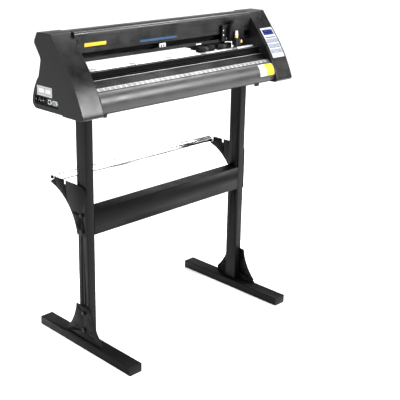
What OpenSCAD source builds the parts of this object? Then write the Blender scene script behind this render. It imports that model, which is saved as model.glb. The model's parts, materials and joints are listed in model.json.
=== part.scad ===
// Floor-standing vinyl cutter, 720 mm media class, on its two-legged stand.
// Frame: +X to the operator's right, +Y to the rear, +Z up, origin on the floor midway between the legs.

/* [Stand] */
// Distance between the two leg centres
leg_spacing = 664; // [640:1:664]
// Leg tube size across the machine
leg_w = 28; // [24:1:30]
// Leg and crossbar tube size front to back
leg_d = 46; // [40:1:50]
// Foot bar length front to back
foot_len = 440; // [400:5:480]
// Foot bar width
foot_w = 46; // [42:1:50]
// Foot bar height
foot_h = 28; // [24:1:32]
// Wall of every stand tube
tube_wall = 2; // [1.5:0.5:3]
// Crossbar height
crossbar_h = 78; // [60:1:90]
// Height of the crossbar's underside above the floor
crossbar_z = 374; // [340:1:390]
// Thickness of the steel bracket plates
plate_t = 3; // [2.5:0.5:3.5]

/* [Media roller] */
// Diameter of the chromed roller tube
roll_d = 26; // [22:1:28]
// Height of the roller axis
roll_z = 518; // [510:1:518]
// Distance of the roller axis behind the legs
roll_y = 133; // [130:1:135]
// Diameter of the roller's axle
roll_axle_d = 8; // [8:0.5:8.5]
// Distance of the spare axle slot behind the legs
spare_slot_y = 79; // [76:1:82]

/* [Head] */
// Left end of the head, to the left of the middle
head_left = 442.5; // [440:0.5:445]
// Right end of the head, to the right of the middle
head_right = 442.5; // [440:0.5:445]
// Width of the left end cap
cap_left_w = 72.5; // [70:0.5:74]
// Width of the right end cap
cap_right_w = 78.5; // [77:0.5:80]
// Wall of the plastic end caps
cap_wall = 3; // [2.5:0.5:3.5]
// Height of the head's underside above the floor
head_z = 763; // [763:1:763]
// Height of the head from its underside to its top
head_h = 216; // [216:1:216]

/* [Feed] */
// Diameter of the chromed feed shaft
shaft_d = 18; // [16:1:18]
// Diameter of the feed shaft's bearing journals
journal_d = 10; // [8:1:10]
// Diameter of a pinch wheel
pinch_d = 16; // [16:1:16]
// Width of a pinch wheel
pinch_w = 14; // [10:1:15]
// Middle of the left pinch roller assembly
pinch_1_x = 140; // [120:1:145]
// Middle of the right pinch roller assembly
pinch_2_x = 222; // [220:1:224]

/* [Carriage] */
// Middle of the carriage in its parked position
carriage_x = 273; // [270:1:276]
// Width of the carriage cover
cover_w = 70; // [64:1:72]
// Distance from the carriage's middle to the blade holder, to the left
tool_dx = 13; // [12:1:14]
// Diameter of the blade holder's body
blade_holder_d = 11; // [10:0.5:11]

/* [Control panel] */
// Width of a key
key_w = 15; // [13:0.5:15.5]
// Height of a key along the slope
key_h = 13; // [12:0.5:14]
// Distance between key columns
key_pitch_x = 18.5; // [18:0.5:18.5]
// Distance between key rows
key_pitch_s = 19; // [19:0.5:21]

/* [Hidden] */
$fn = 48;

// Gap between parts that move past each other
gap = 0.3;
// Radial clearance of a running fit
run_fit = 0.05;
steel_black = [0.11, 0.11, 0.12];
abs_grey = [0.20, 0.20, 0.21];
metal = [0.75, 0.76, 0.78];
brass = [0.80, 0.62, 0.28];
rubber_black = [0.05, 0.05, 0.05];

// --- Stand dimensions
leg_x = leg_spacing / 2;
leg_out = leg_x + leg_w / 2;
leg_top = head_z;
flange_t = 4;
bolt_hole_d = 6.6;
bolt_d = 6;
bracket_bolt_z = [crossbar_z + 12, crossbar_z + 62];
gusset_bolt_z = [62, 118];

// --- Head dimensions
head_top = head_z + head_h;
in_left = -head_left + cap_left_w;
in_right = head_right - cap_right_w;
frame_t = 3;
// Gap between a side plate's rim and the cap around it
rim_gap = 0.2;

// --- Front slope of the end caps: a straight upper part, then a large arc
slope_r = 485;
slope_a = 51.43;
slope_straight = 94.6;
slope_end_a = 69.6;
slope_corner = [-62, head_z + 140];
slope_normal = [-sin(slope_a), cos(slope_a)];
slope_centre = slope_corner - slope_r * slope_normal;
function slope_angle(s) = slope_a + max(s - slope_straight, 0) / slope_r * 180 / PI;
function slope_point(s) = s < slope_straight
    ? slope_corner + (slope_straight - s) * [cos(slope_a), sin(slope_a)]
    : slope_centre + slope_r * [-sin(slope_angle(s)), cos(slope_angle(s))];

// --- Feed line
shaft_y = -24;
shaft_z = head_z + 100;
shaft_top = shaft_z + shaft_d / 2;
bearing_d = 26;
bearing_w = 8;
// Lip of the side plate that keeps a bearing in
bearing_lip = 1;
feed_pulley_r = 20;
feed_pulley_x = in_right + 14;
feed_pulley_w = 10;
motor_size = 42;
motor_pilot_d = 22;
motor_shaft_d = 5;
small_pulley_r = 6.4;
belt_t = 1.4;
feed_motor_y = 22;
feed_motor_z = head_z + 49;
feed_motor_x = in_right + 31;
post_pitch = 31;

// --- Beam and carriage drive
beam_front = -15;
beam_rear = 50;
beam_bottom = head_z + 130;
lip_r = 8;
slot_z = beam_bottom + 18;
rail_h = 12;
rail_d = 8;
web_y = 10;
cavity = [beam_front + 4, web_y, beam_bottom + 4, beam_bottom + 62];
drive_z = beam_bottom + 45.4;
belt_y = -6;
belt_w = 6;
drive_pulley_x = in_left - 30;
idler_x = in_right + 25;
carriage_motor_y = 6;

// --- Pinch rollers
pinch_pivot_y = 8;
pinch_pivot_z = beam_bottom - 13;
pinch_pin_d = 4;
pinch_z = shaft_top + gap + pinch_d / 2;
tee_y = 25;
tee_mouth = 8;
tee_head = 14;

// --- Carriage
tool_x = carriage_x - tool_dx;
tool_y = -47;
cover_front = -38;
plate_front = -24;
cover_z = beam_bottom + 3;
holder_z = beam_bottom - 9;
holder_h = 20;
holder_top = holder_z + holder_h;
holder_half = 11;
clamp_z = holder_z + 9;
clamp_d = 4;

// --- Control panel, as distances down the front slope
panel_x = [head_right - 66, head_right - 7];
panel_s = [66, 176];
panel_t = 1.2;
display_s = 83;
display_w = 47;
display_h = 17;
key_s = 116;
key_x = (panel_x[0] + panel_x[1]) / 2;

// --- Ports on the left end
port_y = [-30, 78];
port_z = head_z + 27;
port_h = 24;
port_x = -head_left + cap_wall;
inlet_y = 60;
switch_y = 34;
usb_y = 13;
serial_y = -12;

// =====================================================================
// Helpers
// =====================================================================

// Points of a circular arc from angle a0 to a1 in n steps
function arc(c, r, a0, a1, n) = [for (i = [0:n]) let (a = a0 + (a1 - a0) * i / n) c + r * [cos(a), sin(a)]];

function unit(v) = v / norm(v);
function left_of(v) = [-v[1], v[0]];

// A point moved to the left of both edges that meet at it, by d
function mitre(p, n1, n2, d) = p + d * (n1 + n2) / (1 + n1 * n2);

// A closed anticlockwise outline moved inwards by d
function inset(path, d) = [for (i = [0:len(path) - 1])
    let (n = len(path), a = path[(i + n - 1) % n], b = path[i], c = path[(i + 1) % n])
    mitre(b, left_of(unit(b - a)), left_of(unit(c - b)), d)];

// An open path moved to its left by d
function shifted(path, d) = [for (i = [0:len(path) - 1])
    let (last = len(path) - 1,
         n1 = left_of(unit(path[max(i, 1)] - path[max(i, 1) - 1])),
         n2 = left_of(unit(path[min(i, last - 1) + 1] - path[min(i, last - 1)])))
    mitre(path[i], n1, n2, d)];

function reversed(path) = [for (i = [len(path) - 1:-1:0]) path[i]];

// Outline of a sheet of thickness t to the left of a path
function sheet(path, t) = concat(path, reversed(shifted(path, t)));

// A (y, z) outline carried along X from x0 to x1
module along_x(x0, x1) {
    translate([x0, 0, 0]) rotate([90, 0, 90]) linear_extrude(height = x1 - x0) children();
}

// A cylinder along X, from x0 to x1, about the point (y, z)
module rod_x(x0, x1, y, z, d) {
    translate([x0, y, z]) rotate([0, 90, 0]) cylinder(d = d, h = x1 - x0);
}

// A cylinder along Y, from y0 to y1, about the point (x, z)
module rod_y(y0, y1, x, z, d) {
    translate([x, y0, z]) rotate([-90, 0, 0]) cylinder(d = d, h = y1 - y0);
}

// A box from its lowest to its highest corner
module block(lo, hi) {
    translate(lo) cube(hi - lo);
}

// Both sides of the machine: the child and its mirror image
module both_sides() {
    children();
    mirror([1, 0, 0]) children();
}

// Outer corner radius of the stand's tubes
tube_r = 2.5;

// Rounded rectangle, w by h, about the origin
module rounded_rect(w, h, r) {
    polygon(concat(arc([w / 2 - r, h / 2 - r], r, 0, 90, 4), arc([-w / 2 + r, h / 2 - r], r, 90, 180, 4),
        arc([-w / 2 + r, -h / 2 + r], r, 180, 270, 4), arc([w / 2 - r, -h / 2 + r], r, 270, 360, 4)));
}

// Children placed on the front slope, s down it, with local +Z along the outward normal
module on_slope(x, s) {
    p = slope_point(s);
    translate([x, p[0], p[1]]) rotate([slope_angle(s), 0, 0]) children();
}

// =====================================================================
// Stand
// =====================================================================

foot_inset = 3;
gusset_out = leg_out + plate_t;
gusset_half = 86;
gusset_toe = 38;
gusset_curve = arc([207.3, 165.5], 173, 188, 226, 8);
gusset_path = concat([[-gusset_half, foot_h], [-gusset_half, gusset_toe]],
    reversed([for (p = gusset_curve) [-p[0], p[1]]]), gusset_curve,
    [[gusset_half, gusset_toe], [gusset_half, foot_h]]);

// Foot bar with its welded gusset plate, for the right side
module foot() {
    difference() {
        union() {
            translate([leg_x, 0, foot_h / 2]) rotate([90, 0, 0])
                linear_extrude(height = foot_len - 2 * foot_inset, center = true) difference() {
                    rounded_rect(foot_w, foot_h, tube_r);
                    square([foot_w - 2 * tube_wall, foot_h - 2 * tube_wall], center = true);
                }
            along_x(leg_out, gusset_out) polygon(gusset_path);
            block([leg_out, -gusset_half, foot_h], [leg_x + foot_w / 2, gusset_half, foot_h + plate_t]);
        }
        for (z = gusset_bolt_z) rod_x(leg_out - 1, gusset_out + 1, 0, z, bolt_hole_d);
    }
}

module right_foot() { color(steel_black) foot(); }
module left_foot() { color(steel_black) mirror([1, 0, 0]) foot(); }

// Plastic plugs that close the four ends of the foot bars
module foot_plugs() {
    plug_depth = 14;
    color(rubber_black) both_sides() for (side = [-1, 1]) {
        translate([leg_x, side * (foot_len / 2 - foot_inset / 2), foot_h / 2]) rotate([90, 0, 0])
            linear_extrude(height = foot_inset, center = true) rounded_rect(foot_w, foot_h, tube_r);
        translate([leg_x, side * (foot_len / 2 - foot_inset - plug_depth / 2), foot_h / 2])
            cube([foot_w - 2 * tube_wall, plug_depth, foot_h - 2 * tube_wall], center = true);
    }
}

flange_x = 26;
flange_y = 45;
flange_bolts = [[16, 36], [-16, 36], [16, -36], [-16, -36]];

// Leg tube with the flange welded to its top, for the right side
module leg() {
    difference() {
        union() {
            translate([leg_x, 0, foot_h]) linear_extrude(height = leg_top - flange_t - foot_h) difference() {
                rounded_rect(leg_w, leg_d, tube_r);
                square([leg_w - 2 * tube_wall, leg_d - 2 * tube_wall], center = true);
            }
            block([leg_x - flange_x, -flange_y, leg_top - flange_t], [leg_x + flange_x, flange_y, leg_top]);
        }
        for (z = bracket_bolt_z) rod_x(leg_x - leg_w, leg_x + leg_w, 0, z, bolt_hole_d);
        for (z = gusset_bolt_z) rod_x(leg_x, leg_x + leg_w, 0, z, bolt_hole_d);
        for (p = flange_bolts)
            translate([leg_x + p[0], p[1], leg_top - flange_t - 1])
                cylinder(d = bolt_hole_d, h = flange_t + 2);
    }
}

module right_leg() { color(steel_black) leg(); }
module left_leg() { color(steel_black) mirror([1, 0, 0]) leg(); }

// Rectangular tube between the legs, with end plates that take the bolts
module crossbar() {
    half = leg_x - leg_w / 2;
    end_t = 4;
    color(steel_black) difference() {
        block([-half, -leg_d / 2, crossbar_z], [half, leg_d / 2, crossbar_z + crossbar_h]);
        block([-half + end_t, -leg_d / 2 + tube_wall, crossbar_z + tube_wall],
            [half - end_t, leg_d / 2 - tube_wall, crossbar_z + crossbar_h - tube_wall]);
        for (z = bracket_bolt_z) rod_x(-half - 1, half + 1, 0, z, bolt_hole_d);
    }
}

bracket_z = crossbar_z - 2;
bracket_top = roll_z + 9;
bracket_tip_y = roll_y + 14;
corner_r = 22;
bracket_path = concat([[-leg_d / 2, bracket_z], [24, bracket_z]],
    reversed([for (p = arc([188, 343], 167, 104.5, 169, 10)) p]),
    [[bracket_tip_y + 3, roll_z - 9], [bracket_tip_y, bracket_top]],
    arc([-leg_d / 2 + corner_r, bracket_top - corner_r], corner_r, 90, 180, 6));
slot_fit = 0.4;

// Upward-open slot for a roller axle
module axle_slot(y) {
    w = roll_axle_d + 2 * slot_fit;
    rod_x(leg_out - 1, gusset_out + 1, y, roll_z, w);
    block([leg_out - 1, y - w / 2, roll_z], [gusset_out + 1, y + w / 2, bracket_top + 1]);
}

// Steel plates on the legs' outer faces that carry the media roller
module roll_brackets() {
    color(steel_black) both_sides() difference() {
        along_x(leg_out, gusset_out) polygon(bracket_path);
        axle_slot(roll_y);
        axle_slot(spare_slot_y);
        for (z = bracket_bolt_z) rod_x(leg_out - 1, gusset_out + 1, 0, z, bolt_hole_d);
    }
}

// Button-head bolt along -X with its head outside x, for the right side
module bolt(x, z, shank) {
    head_d = 13;
    head_h = 4;
    hex_d = 4.6;
    difference() {
        union() {
            rod_x(x, x + head_h, 0, z, head_d);
            rod_x(x - shank, x, 0, z, bolt_d);
        }
        translate([x + head_h / 2, 0, z]) rotate([0, 90, 0]) cylinder(d = hex_d, h = head_h, $fn = 6);
    }
}

// Every bolt of the stand
module stand_bolts() {
    long_shank = 42;
    short_shank = 18;
    flange_shank = 12;
    flange_head_h = 4;
    color(metal) both_sides() {
        for (z = bracket_bolt_z) bolt(gusset_out, z, long_shank);
        for (z = gusset_bolt_z) bolt(gusset_out, z, short_shank);
        for (p = flange_bolts) translate([leg_x + p[0], p[1], leg_top - flange_t - flange_head_h]) {
            cylinder(d = 11, h = flange_head_h);
            cylinder(d = bolt_d, h = flange_shank);
        }
    }
}

// Steel rod that lies in the bracket slots
module roll_axle() {
    overhang = 25;
    color(metal) rod_x(-gusset_out - overhang, gusset_out + overhang, roll_y, roll_z, roll_axle_d);
}

roll_half = leg_out - 10;
roll_wall = 1.5;

// Chromed tube that carries the media roll
module roll_tube() {
    color(metal) difference() {
        rod_x(-roll_half, roll_half, roll_y, roll_z, roll_d);
        rod_x(-roll_half - 1, roll_half + 1, roll_y, roll_z, roll_d - 2 * roll_wall);
    }
}

// Plastic hubs in the tube's ends that run on the axle
module roll_plugs() {
    spigot = 16;
    color("white") both_sides() difference() {
        union() {
            rod_x(roll_half, leg_out - 0.5, roll_y, roll_z, roll_d - 1);
            rod_x(roll_half - spigot, roll_half, roll_y, roll_z, roll_d - 2 * roll_wall);
        }
        rod_x(roll_half - spigot - 1, leg_out, roll_y, roll_z, roll_axle_d + 2 * run_fit);
    }
}

// =====================================================================
// Head: frame and covers
// =====================================================================

front_fillet = 6;
front_fillet_c = slope_point(0) + front_fillet * [sin(slope_a), -cos(slope_a)];
low_step = 3;

// Side outline of the end caps, anticlockwise from the top of the front slope
head_path = concat(
    arc([front_fillet_c[0], head_top - front_fillet], front_fillet, 90, 90 + slope_a, 4),
    arc(slope_centre, slope_r, 90 + slope_a, 90 + slope_end_a, 12),
    arc([-127.6, head_z - low_step + 10], 10, 190, 270, 4),
    [[-50, head_z - low_step], [-46, head_z]],
    arc([71, head_z + 20], 20, 270, 370, 8),
    arc([-57.5, head_z - 2.6], 150.5, 12, 40, 8),
    arc([66.5, head_z + 140], 20, 194, 147, 5),
    arc([61, head_z + 188], 12, -33, 25, 5),
    arc([54, head_top - 8], 8, 25, 90, 5));

// Outer shell of an end cap between two X positions, closed at its outer end
module cap_shell(x0, x1, outer) {
    difference() {
        along_x(x0, x1) polygon(head_path);
        along_x(outer < 0 ? x0 + cap_wall : x0 - 1, outer < 0 ? x1 + 1 : x1 - cap_wall)
            polygon(inset(head_path, cap_wall));
    }
}

module left_end_cap() {
    color(abs_grey) difference() {
        cap_shell(-head_left, in_left, -1);
        block([-head_left - 1, port_y[0], port_z - port_h / 2],
            [-head_left + cap_wall + 1, port_y[1], port_z + port_h / 2]);
    }
}

module right_end_cap() {
    color(abs_grey) difference() {
        cap_shell(in_right, head_right, 1);
        on_slope(key_x, display_s)
            cube([display_w + 2 * rim_gap, display_h + 2 * rim_gap, 20], center = true);
        each_key() key_opening();
    }
}

// Steel side plates that carry the beam, the shaft, the motors and the pan
module side_plates() {
    tab = [drive_pulley_x - 22, carriage_motor_y - 3, drive_z - 22];
    tab_h = 44;
    plate_path = inset(head_path, cap_wall + rim_gap);
    window = [belt_y - 6, 0, drive_z - 10, drive_z + 10];
    shaft_hole = journal_d + 4;
    standoff_d = 6;
    color(metal) {
        difference() {
            union() {
                along_x(in_left - frame_t, in_left) polygon(plate_path);
                block(tab, [in_left - frame_t, carriage_motor_y, tab[2] + tab_h]);
            }
            rod_x(in_left - frame_t - 1, in_left - bearing_lip, shaft_y, shaft_z, bearing_d);
            rod_x(in_left - frame_t - 1, in_left + 1, shaft_y, shaft_z, shaft_hole);
            block([in_left - frame_t - 1, window[0], window[2]], [in_left + 1, window[1], window[3]]);
            rod_y(tab[1] - 1, carriage_motor_y + 1, drive_pulley_x, drive_z, motor_pilot_d + 2 * run_fit);
        }
        difference() {
            union() {
                along_x(in_right, in_right + frame_t) polygon(plate_path);
                block([in_right + frame_t, 3, drive_z - 12], [idler_x + 12, 6, drive_z + 12]);
                rod_y(belt_y - 5, 3, idler_x, drive_z, motor_shaft_d);
                for (dy = [-1, 1]) for (dz = [-1, 1])
                    rod_x(in_right + frame_t, feed_motor_x, feed_motor_y + dy * post_pitch / 2,
                        feed_motor_z + dz * post_pitch / 2, standoff_d);
            }
            rod_x(in_right + bearing_lip, in_right + frame_t + 1, shaft_y, shaft_z, bearing_d);
            rod_x(in_right - 1, in_right + frame_t + 1, shaft_y, shaft_z, shaft_hole);
            block([in_right - 1, window[0], window[2]], [in_right + frame_t + 1, window[1], window[3]]);
        }
    }
}

pan_front = -116;
pan_rear = 58;
guide_end = shaft_y + shaft_d / 2 + 3;

// Folded steel pan: the floor of the head, its back wall and the rear media guide
module base_pan() {
    pan_t = 2;
    color(steel_black) difference() {
        along_x(in_left, in_right) polygon(sheet([[pan_front, head_z], [pan_rear, head_z],
            [pan_rear, head_z + 86], [guide_end, head_z + 99]], pan_t));
        both_sides() for (p = flange_bolts)
            translate([leg_x + p[0], p[1], head_z - 1]) cylinder(d = bolt_hole_d, h = pan_t + 2);
    }
}

apron_c = [-87, head_z + 26];
apron_r = 41;

// Curved front cover under the ruler
module front_apron() {
    apron_t = 2.5;
    hem_z = head_z + 3;
    color(abs_grey) along_x(in_left, in_right) polygon(sheet(
        concat(arc(apron_c, apron_r, 121, 211, 16), [[pan_front - 1, hem_z], [-100, hem_z]]), apron_t));
}

platform_top = [-35, head_z + 104];
platform_len = 83.4;
platform_a = 30.3;
platform_t = 7;
land_d = 17;
// Rear face of the platform, clear of the feed shaft
platform_rear = shaft_y - shaft_d / 2 - 1.2;

// Black extrusion that the media runs down: a flat cutting land, then a grooved slope
module platform() {
    groove = 3;
    fine_groove = 0.8;
    land_top = platform_top[1] + 1;
    color(steel_black) difference() {
        union() {
            translate([0, platform_top[0], platform_top[1]]) rotate([platform_a, 0, 0])
                block([in_left, -platform_len, -platform_t], [in_right, 0, 0]);
            block([in_left, platform_top[0] - land_d, head_z + 92], [in_right, platform_rear + 1, land_top]);
        }
        block([in_left - 1, platform_rear, head_z + 90], [in_right + 1, shaft_y, land_top + 1]);
        translate([0, platform_top[0], platform_top[1]]) rotate([platform_a, 0, 0]) {
            for (s = [24, 30.5]) block([in_left - 1, -s - 5, -groove], [in_right + 1, -s, 1]);
            for (s = [44, 50, 56, 62]) block([in_left - 1, -s - 1.2, -fine_groove], [in_right + 1, -s, 1]);
        }
        block([in_left - 1, platform_top[0] - 14, platform_top[1]],
            [in_right + 1, platform_top[0] - 6, land_top + 1]);
    }
}

// Rubber feet for standing the head on a table
module head_feet() {
    front_at = [325, -84];
    rear_at = [270, 38];
    foot_d = 18;
    taper_h = 10;
    height = 17;
    color(rubber_black) both_sides() for (p = [front_at, rear_at]) translate([p[0], p[1], head_z - height]) {
        cylinder(d1 = foot_d - 3, d2 = foot_d, h = taper_h);
        translate([0, 0, taper_h]) cylinder(d = foot_d, h = height - taper_h);
    }
}

// Hollow aluminium extrusion across the head, with the carriage slot in its front
module beam() {
    top_groove = [3, 12];
    rear_step = [40, 3];
    color(steel_black) along_x(in_left, in_right) difference() {
        polygon(concat([[beam_front, beam_bottom]],
            reversed(arc([beam_front + lip_r, head_top - lip_r], lip_r, 90, 180, 6)),
            [[top_groove[0], head_top], [top_groove[0], head_top - 8], [top_groove[1], head_top - 8],
             [top_groove[1], head_top], [rear_step[0], head_top], [rear_step[0], head_top - rear_step[1]],
             [beam_rear, head_top - rear_step[1]], [beam_rear, beam_bottom]]));
        translate([cavity[0], cavity[2]]) square([cavity[1] - cavity[0], cavity[3] - cavity[2]]);
        translate([beam_front - 1, slot_z - 8]) square([6, 16]);
        translate([web_y + 4, beam_bottom + 13]) square([32, 58]);
        translate([tee_y - tee_mouth / 2, beam_bottom - 1]) square([tee_mouth, 5]);
        translate([tee_y - tee_head / 2, beam_bottom + 3]) square([tee_head, 6]);
        for (z = [beam_bottom + 34, beam_bottom + 68]) translate([beam_front - 1, z]) square([2, 1.5]);
    }
}

// Steel rail inside the beam that the carriage runs on
module guide_rail() {
    color(metal)
        block([in_left, web_y - rail_d, slot_z - rail_h / 2], [in_right, web_y, slot_z + rail_h / 2]);
}

// =====================================================================
// Electrics
// =====================================================================

inlet_size = [27, 20];
rocker_size = [11.4, 17];
rocker_r = 8.2;
rocker_pivot_x = port_x + 5.5;
usb_size = [12, 11];
serial_size = [19, 10.5];
panel_plate_t = 2;

// Recessed plate behind the opening in the left end cap
module port_panel() {
    margin = 4;
    color(steel_black) difference() {
        block([port_x, port_y[0] - margin, port_z - port_h / 2 - margin],
            [port_x + panel_plate_t, port_y[1] + margin, port_z + port_h / 2 + margin]);
        block([port_x - 1, inlet_y - inlet_size[0] / 2, port_z - inlet_size[1] / 2],
            [port_x + panel_plate_t + 1, inlet_y + inlet_size[0] / 2, port_z + inlet_size[1] / 2]);
        block([port_x - 1, switch_y - rocker_size[0] / 2 - gap, port_z - rocker_size[1] / 2],
            [port_x + panel_plate_t + 1, switch_y + rocker_size[0] / 2 + gap, port_z + rocker_size[1] / 2]);
        block([port_x - 1, usb_y - usb_size[0] / 2, port_z - usb_size[1] / 2],
            [port_x + panel_plate_t + 1, usb_y + usb_size[0] / 2, port_z + usb_size[1] / 2]);
        block([port_x - 1, serial_y - serial_size[0] / 2, port_z - serial_size[1] / 2],
            [port_x + panel_plate_t + 1, serial_y + serial_size[0] / 2, port_z + serial_size[1] / 2]);
    }
}

// Rocker of the power switch, resting in its off position
module power_switch() {
    rest_tilt = 8;
    face_a = 12;
    color(rubber_black) translate([rocker_pivot_x, switch_y, port_z]) rotate([90, 0, 0])
        linear_extrude(height = rocker_size[0], center = true) rotate(rest_tilt) intersection() {
            circle(r = rocker_r);
            polygon([[-6, 0], [-6 - 9 * sin(face_a), 9], [3, 9], [3, -9], [-6 - 9 * sin(face_a), -9]]);
        }
}

// Mains inlet with three flat pins
module power_inlet() {
    depth = 20;
    mouth = [23.5, 16];
    pin_len = 11;
    color(rubber_black) {
        difference() {
            block([port_x - 2, inlet_y - inlet_size[0] / 2, port_z - inlet_size[1] / 2],
                [port_x + depth, inlet_y + inlet_size[0] / 2, port_z + inlet_size[1] / 2]);
            block([port_x - 3, inlet_y - mouth[0] / 2, port_z - mouth[1] / 2],
                [port_x + depth - 3, inlet_y + mouth[0] / 2, port_z + mouth[1] / 2]);
        }
        for (p = [[-7, -2], [0, 2], [7, -2]])
            block([port_x + depth - 3 - pin_len, inlet_y + p[0] - 1, port_z + p[1] - 2],
                [port_x + depth - 3, inlet_y + p[0] + 1, port_z + p[1] + 2]);
    }
}

// USB and serial sockets
module data_sockets() {
    usb_depth = 14;
    shell = 1;
    tongue = 7;
    color(metal) {
        difference() {
            block([port_x - 1, usb_y - usb_size[0] / 2, port_z - usb_size[1] / 2],
                [port_x + usb_depth, usb_y + usb_size[0] / 2, port_z + usb_size[1] / 2]);
            block([port_x - 2, usb_y - usb_size[0] / 2 + 1.5, port_z - usb_size[1] / 2 + 1.5],
                [port_x + usb_depth - shell, usb_y + usb_size[0] / 2 - 1.5, port_z + usb_size[1] / 2 - 1.5]);
        }
        block([port_x + usb_depth - shell - tongue, usb_y - 2.5, port_z - 1.5],
            [port_x + usb_depth - shell, usb_y + 2.5, port_z + 1.5]);
        difference() {
            block([port_x - 2.5, serial_y - serial_size[0] / 2, port_z - serial_size[1] / 2],
                [port_x + 8, serial_y + serial_size[0] / 2, port_z + serial_size[1] / 2]);
            block([port_x - 5, serial_y - serial_size[0] / 2 + shell, port_z - serial_size[1] / 2 + shell],
                [port_x + 4, serial_y + serial_size[0] / 2 - shell, port_z + serial_size[1] / 2 - shell]);
        }
        for (i = [-2:2]) rod_x(port_x + 2, port_x + 4, serial_y + i * 2.8, port_z + 1.4, 1);
        for (i = [-1.5:1.5]) rod_x(port_x + 2, port_x + 4, serial_y + i * 2.8, port_z - 1.4, 1);
        for (side = [-1, 1]) rod_x(port_x - 3, port_x, serial_y + side * 13, port_z, 5);
    }
}

// Switched power supply, screwed to the left side plate
module power_supply() {
    size = [34, 100, 58];
    color(metal) block([in_left - frame_t - size[0], -102, head_z + 6],
        [in_left - frame_t, -102 + size[1], head_z + 6 + size[2]]);
}

// Main circuit board on four standoffs, with its larger components
module main_board() {
    board_x = in_left - frame_t - 13;
    board = [-46, 34, head_z + 79, head_z + 133];
    board_t = 1.6;
    chip_t = 3;
    connector_t = 9;
    corner = 4;
    color([0.05, 0.30, 0.15]) {
        block([board_x, board[0], board[2]], [board_x + board_t, board[1], board[3]]);
        block([board_x - chip_t, -30, head_z + 92], [board_x, -10, head_z + 112]);
        block([board_x - connector_t, 8, head_z + 86], [board_x, 26, head_z + 100]);
        for (y = [board[0] + corner, board[1] - corner]) for (z = [board[2] + corner, board[3] - corner])
            rod_x(board_x + board_t, in_left - frame_t, y, z, 5);
    }
}

// Slots of the nine keys, left to right and top to bottom
module each_key() {
    for (row = [0:2]) for (col = [0:2])
        on_slope(key_x + (col - 1) * key_pitch_x, key_s + row * key_pitch_s) children();
}

key_r = 2.5;

// Cutter for one key's opening, through the overlay and the cap
module key_opening() {
    translate([0, 0, -6]) linear_extrude(height = 12)
        rounded_rect(key_w + 2 * gap, key_h + 2 * gap, key_r + gap);
}

// White overlay with the screen's window and the key openings
module membrane_panel() {
    step = 5.5;
    color("white") difference() {
        along_x(panel_x[0], panel_x[1]) polygon(sheet(
            [for (s = [panel_s[1]:-step:panel_s[0]]) slope_point(s)], panel_t));
        on_slope(key_x, display_s) cube([display_w, display_h, 12], center = true);
        each_key() key_opening();
    }
}

// Screen module behind the overlay
module display() {
    depth = 9;
    recess = 0.4;
    color([0.12, 0.18, 0.55]) on_slope(key_x, display_s)
        translate([0, 0, panel_t - recess - depth / 2]) cube([display_w, display_h, depth], center = true);
}

// One key of the keypad, number n counted from the top left
module key(n) {
    row = floor((n - 1) / 3);
    col = (n - 1) % 3;
    key_t = 4;
    proud = 0.7;
    color([0.82, 0.86, 0.93]) on_slope(key_x + (col - 1) * key_pitch_x, key_s + row * key_pitch_s)
        translate([0, 0, panel_t + proud - key_t]) linear_extrude(height = key_t)
            rounded_rect(key_w, key_h, key_r);
}

// =====================================================================
// Media feed
// =====================================================================

grit_w = 26;
grit_x = [-320:148:272];

// Feed shaft with knurled bands and a journal at each end
module feed_shaft() {
    left_end = in_left - bearing_lip - bearing_w - 1;
    right_end = feed_pulley_x + feed_pulley_w + 2;
    color(metal) difference() {
        union() {
            rod_x(in_left + gap, in_right - gap, shaft_y, shaft_z, shaft_d);
            rod_x(left_end, right_end, shaft_y, shaft_z, journal_d);
        }
        for (x = grit_x) for (side = [-1, 1]) knurl_edge(x + side * grit_w / 2);
    }
}

// Shallow groove that ends a knurled band
module knurl_edge(x) {
    difference() {
        rod_x(x - 0.5, x + 0.5, shaft_y, shaft_z, shaft_d + 2);
        rod_x(x - 1, x + 1, shaft_y, shaft_z, shaft_d - 0.8);
    }
}

// Ball bearings in the side plates
module feed_bearings() {
    color(metal) for (x = [in_left - bearing_lip - bearing_w, in_right + bearing_lip]) difference() {
        rod_x(x, x + bearing_w, shaft_y, shaft_z, bearing_d);
        rod_x(x - 1, x + bearing_w + 1, shaft_y, shaft_z, journal_d + 2 * run_fit);
    }
}

module feed_pulley() {
    flange = 1;
    color(metal) difference() {
        union() {
            rod_x(feed_pulley_x, feed_pulley_x + feed_pulley_w, shaft_y, shaft_z, 2 * feed_pulley_r);
            for (x = [feed_pulley_x, feed_pulley_x + feed_pulley_w - flange])
                rod_x(x, x + flange, shaft_y, shaft_z, 2 * feed_pulley_r + 4);
        }
        rod_x(feed_pulley_x - 1, feed_pulley_x + feed_pulley_w + 1, shaft_y, shaft_z, journal_d);
        for (a = [0:60:300]) translate([feed_pulley_x - 1, shaft_y, shaft_z]) rotate([a, 0, 0])
            translate([0, 12.5, 0]) rotate([0, 90, 0]) cylinder(d = 7, h = feed_pulley_w + 2);
    }
}

// Square stepper motor, its shaft hole along -Z from the origin
module stepper(len) {
    chamfer = 5;
    half = motor_size / 2;
    difference() {
        linear_extrude(height = len) polygon([for (a = [0:90:270])
            for (p = [[half, half - chamfer], [half - chamfer, half]])
                [p[0] * cos(a) - p[1] * sin(a), p[0] * sin(a) + p[1] * cos(a)]]);
        translate([0, 0, -1]) cylinder(d = motor_shaft_d + 2 * run_fit, h = len - 4);
    }
}

module feed_motor() {
    color(steel_black) translate([feed_motor_x, feed_motor_y, feed_motor_z]) rotate([0, 90, 0]) stepper(40);
}

// Small toothed pulley on a motor shaft, along Z
module small_pulley(w, shaft_len) {
    flange = 1;
    color(metal) {
        cylinder(r = small_pulley_r, h = w);
        for (z = [0, w - flange]) translate([0, 0, z]) cylinder(r = small_pulley_r + 2, h = flange);
        translate([0, 0, w]) cylinder(d = motor_shaft_d, h = shaft_len);
    }
}

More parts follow.
